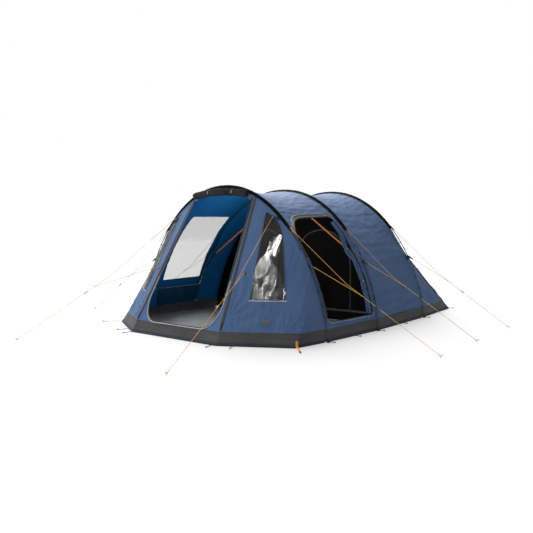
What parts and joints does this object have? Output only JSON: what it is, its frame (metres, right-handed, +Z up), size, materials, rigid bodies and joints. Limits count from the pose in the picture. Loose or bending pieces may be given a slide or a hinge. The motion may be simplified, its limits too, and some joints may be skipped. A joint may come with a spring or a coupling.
{
  "type": "tunnel tent",
  "caption": "Pitched tunnel tent on hoop poles with a sloping front bay, clear windows, front and side doors, dark bedroom, groundsheets and guy lines.",
  "frame": {"origin": "on the ground, under the middle of the tent's own base (its guy lines, runners and guy pegs left out)", "axes": "+Z up; -Y towards the front door; +X towards the side with the side door"},
  "size_m": [6.0592, 6.1117, 1.977],
  "materials": {
    "pole": "black pultruded glass-fibre rod with a slight gloss",
    "sleeve_cloth": "black polyester pole sleeve, fine plain weave",
    "metal": "zinc-plated steel",
    "fly_cloth": "blue coated polyester, fine plain weave with a faint sheen",
    "skirt_cloth": "charcoal coated polyester mud band",
    "window_film": "clear flexible PVC film, wavy and glossy",
    "groundsheet": "grey woven polyethylene groundsheet",
    "inner_cloth": "black blackout polyester of the bedroom",
    "strap": "orange-brown woven webbing",
    "guy_cord": "yellow-orange braided polypropylene cord",
    "runner_plastic": "black moulded nylon"
  },
  "bodies": {
    "tent": {"pole_front": "pole", "pole_middle": "pole", "pole_rear": "pole", "sleeve_front": "sleeve_cloth", "sleeve_middle": "sleeve_cloth", "sleeve_rear": "sleeve_cloth", "foot_front_right": "metal", "foot_front_left": "metal", "foot_middle_right": "metal", "foot_middle_left": "metal", "foot_rear_right": "metal", "foot_rear_left": "metal", "front_door_panel": "fly_cloth", "bay_panel_right": "fly_cloth", "bay_panel_left": "fly_cloth", "bay_window_right": "window_film", "bay_window_left": "window_film", "living_fly": "fly_cloth", "living_window": "window_film", "bedroom_fly": "fly_cloth", "rear_fly": "fly_cloth", "skirt_front": "skirt_cloth", "skirt_rear": "skirt_cloth", "skirt_right": "skirt_cloth", "skirt_left": "skirt_cloth", "rolled_front_door": "sleeve_cloth", "rolled_side_door": "fly_cloth", "living_groundsheet": "groundsheet", "bedroom_groundsheet": "groundsheet", "bedroom_front_wall": "inner_cloth", "bedroom_shell": "inner_cloth", "tension_strap_right": "strap", "tension_strap_left": "strap", "guy_front_right": "guy_cord", "peg_front_right": "metal", "guy_front_left": "guy_cord", "peg_front_left": "metal", "guy_middle_right": "guy_cord", "peg_middle_right": "metal", "guy_middle_left": "guy_cord", "peg_middle_left": "metal", "guy_rear_right": "guy_cord", "peg_rear_right": "metal", "guy_rear_left": "guy_cord", "peg_rear_left": "metal", "guy_bow_right": "guy_cord", "peg_bow_right": "metal", "guy_bow_left": "guy_cord", "peg_bow_left": "metal"},
    "front_zip_slider_right": {"front_zip_slider_right": "metal"},
    "front_zip_slider_left": {"front_zip_slider_left": "metal"},
    "side_zip_slider": {"side_zip_slider": "metal"},
    "runner_front_right": {"runner_front_right": "runner_plastic"},
    "runner_front_left": {"runner_front_left": "runner_plastic"},
    "runner_middle_right": {"runner_middle_right": "runner_plastic"},
    "runner_middle_left": {"runner_middle_left": "runner_plastic"},
    "runner_rear_right": {"runner_rear_right": "runner_plastic"},
    "runner_rear_left": {"runner_rear_left": "runner_plastic"},
    "runner_bow_right": {"runner_bow_right": "runner_plastic"},
    "runner_bow_left": {"runner_bow_left": "runner_plastic"}
  },
  "joints": [
    {"name": "front_zip_right_slide", "type": "slide", "parent": "tent", "child": "front_zip_slider_right", "axis": [-0.0871, 0.4713, 0.8777], "range_m": [-0.08, 1.05]},
    {"name": "front_zip_left_slide", "type": "slide", "parent": "tent", "child": "front_zip_slider_left", "axis": [0.0871, 0.4713, 0.8777], "range_m": [-0.08, 1.05]},
    {"name": "side_zip_slide", "type": "slide", "parent": "tent", "child": "side_zip_slider", "axis": [-0.0676, -0.9977, -0.001], "range_m": [-0.05, 0.68]},
    {"name": "runner_front_right_slide", "type": "slide", "parent": "tent", "child": "runner_front_right", "axis": [0.8498, 0.0243, -0.5266], "range_m": [-0.198, 0.58]},
    {"name": "runner_front_left_slide", "type": "slide", "parent": "tent", "child": "runner_front_left", "axis": [-0.8498, 0.0243, -0.5266], "range_m": [-0.198, 0.58]},
    {"name": "runner_middle_right_slide", "type": "slide", "parent": "tent", "child": "runner_middle_right", "axis": [0.846, -0.0248, -0.5325], "range_m": [-0.2, 0.587]},
    {"name": "runner_middle_left_slide", "type": "slide", "parent": "tent", "child": "runner_middle_left", "axis": [-0.846, -0.0248, -0.5325], "range_m": [-0.2, 0.587]},
    {"name": "runner_rear_right_slide", "type": "slide", "parent": "tent", "child": "runner_rear_right", "axis": [0.8358, -0.094, -0.5409], "range_m": [-0.187, 0.547]},
    {"name": "runner_rear_left_slide", "type": "slide", "parent": "tent", "child": "runner_rear_left", "axis": [-0.8358, -0.094, -0.5409], "range_m": [-0.187, 0.547]},
    {"name": "runner_bow_right_slide", "type": "slide", "parent": "tent", "child": "runner_bow_right", "axis": [0.1649, -0.8482, -0.5033], "range_m": [-0.097, 0.722]},
    {"name": "runner_bow_left_slide", "type": "slide", "parent": "tent", "child": "runner_bow_left", "axis": [-0.1649, -0.8482, -0.5033], "range_m": [-0.097, 0.722]}
  ]
}
